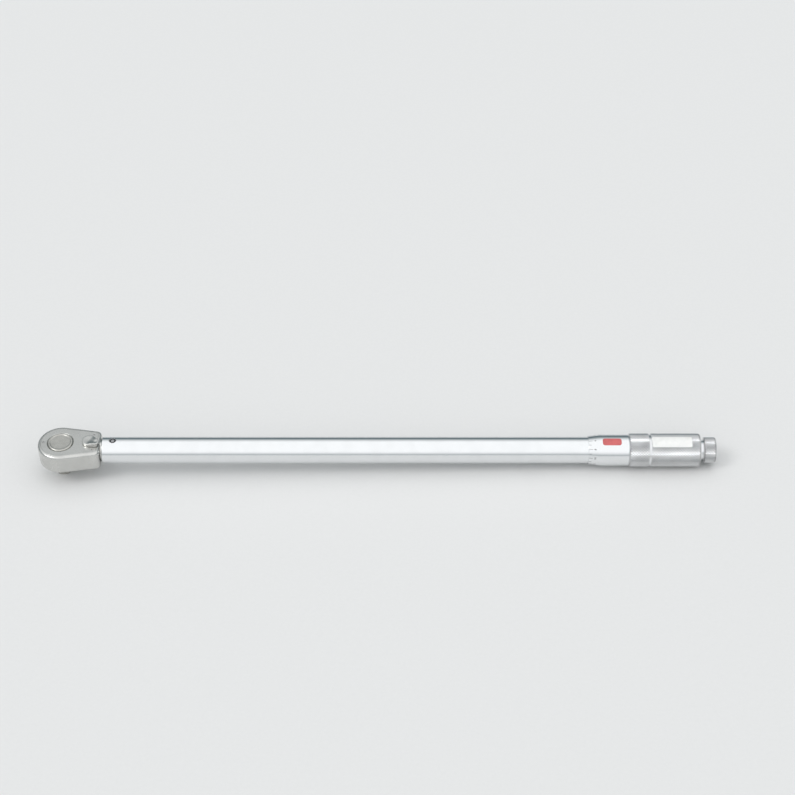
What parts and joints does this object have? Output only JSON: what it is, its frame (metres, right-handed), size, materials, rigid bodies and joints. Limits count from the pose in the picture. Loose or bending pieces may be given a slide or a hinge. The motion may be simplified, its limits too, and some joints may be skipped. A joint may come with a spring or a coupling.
{
  "type": "torque wrench",
  "caption": "Click-type torque wrench: reversible ratchet head with square drive, chromed tube, screw-set knurled metal handle with fine scale and lock knob.",
  "frame": {"origin": "centre of the square drive at its shoulder, where a socket seats", "axes": "+X along the tube from the head to the handle, -Z out of the drive (down), +Z towards the cover and lever"},
  "size_m": [0.685, 0.046, 0.0453],
  "materials": {
    "satin_chrome": "satin chrome plate over forged steel",
    "bright_chrome": "bright chrome plate over drawn steel tube",
    "knurled_chrome": "satin chrome plate over diamond knurling",
    "ground_steel": "hardened and ground steel, oiled",
    "dark_steel": "black oxide steel",
    "spring_steel": "oil-tempered spring wire, greased",
    "ball_steel": "polished bearing ball",
    "nut_brass": "turned brass",
    "seal_rubber": "black nitrile rubber",
    "label_red": "blank red label, satin",
    "plate_white": "blank white plate, satin"
  },
  "bodies": {
    "tube_body": {"tube": "bright_chrome", "pivot_pin": "dark_steel", "adjusting_nut": "nut_brass", "nut_pins": "dark_steel", "main_spring": "spring_steel"},
    "head": {"ratchet_head": "satin_chrome", "head_cover": "satin_chrome", "cover_screws": "ground_steel", "gear_washer": "ground_steel", "pawl_pin": "ground_steel"},
    "drive": {"drive_gear": "satin_chrome", "detent_spring": "spring_steel"},
    "detent": {"detent_ball": "ball_steel"},
    "lever": {"reversing_lever": "satin_chrome", "lever_plunger": "ground_steel", "lever_spring": "spring_steel"},
    "pawl": {"pawl": "ground_steel"},
    "plunger": {"plunger": "ground_steel"},
    "toggle": {"toggle_block": "ground_steel"},
    "thrust": {"spring_seat": "ground_steel", "push_rod": "ground_steel", "thrust_ball": "ball_steel"},
    "handle": {"adjusting_screw": "ground_steel", "thimble": "bright_chrome", "thimble_seal": "seal_rubber", "thimble_label": "label_red", "handle_grip": "knurled_chrome", "grip_plate": "plate_white", "handle_hub": "ground_steel", "hub_screw": "dark_steel", "lock_rod": "ground_steel", "lock_balls": "ball_steel"},
    "lock": {"lock_knob": "knurled_chrome"}
  },
  "joints": [
    {"name": "head_click", "type": "hinge", "parent": "tube_body", "child": "head", "pos_m": [0.053, 0, 0.0125], "axis": [0, 0, 1], "range_deg": [0, 2], "stiffness_Nm_per_rad": 60, "springref_deg": -1.15},
    {"name": "drive_turn", "type": "hinge", "parent": "head", "child": "drive", "pos_m": [0, 0, 0], "axis": [0, 0, 1], "continuous": true},
    {"name": "lever_flip", "type": "hinge", "parent": "head", "child": "lever", "pos_m": [0.0291, 0, 0.0235], "axis": [0, 0, 1], "range_deg": [0, 56]},
    {"name": "pawl_rock", "type": "hinge", "parent": "head", "child": "pawl", "pos_m": [0.01895, 0, 0.014], "axis": [0, 0, 1], "range_deg": [-7.4, 0]},
    {"name": "detent_press", "type": "slide", "parent": "drive", "child": "detent", "axis": [1, 0, 0], "range_m": [0, 0.0009], "stiffness_N_per_m": 1500, "springref_m": -0.001, "deforming": ["detent_spring"]},
    {"name": "plunger_slide", "type": "slide", "parent": "tube_body", "child": "plunger", "axis": [-1, 0, 0], "range_m": [0, 0.00105]},
    {"name": "toggle_tilt", "type": "hinge", "parent": "plunger", "child": "toggle", "pos_m": [0.181, 0, 0.0125], "axis": [0, 0, 1], "range_deg": [-31.3, 0]},
    {"name": "seat_slide", "type": "slide", "parent": "tube_body", "child": "thrust", "axis": [-1, 0, 0], "range_m": [0, 0.035], "deforming": ["main_spring"]},
    {"name": "handle_turn", "type": "hinge", "parent": "thrust", "child": "handle", "pos_m": [0.592, 0, 0.0125], "axis": [-1, 0, 0], "range_deg": [0, 5041]},
    {"name": "lock_turn", "type": "hinge", "parent": "handle", "child": "lock", "pos_m": [0.646, 0, 0.0125], "axis": [1, 0, 0], "range_deg": [0, 180]}
  ],
  "couplings": [
    {"joint": "pawl_rock", "follows": "lever_flip", "ratio": -0.13154},
    {"joint": "toggle_tilt", "follows": "head_click", "ratio": -15.6},
    {"joint": "plunger_slide", "follows": "head_click", "m_per_rad": 0.028648},
    {"joint": "handle_turn", "follows": "seat_slide", "rad_per_m": 2513.3}
  ]
}
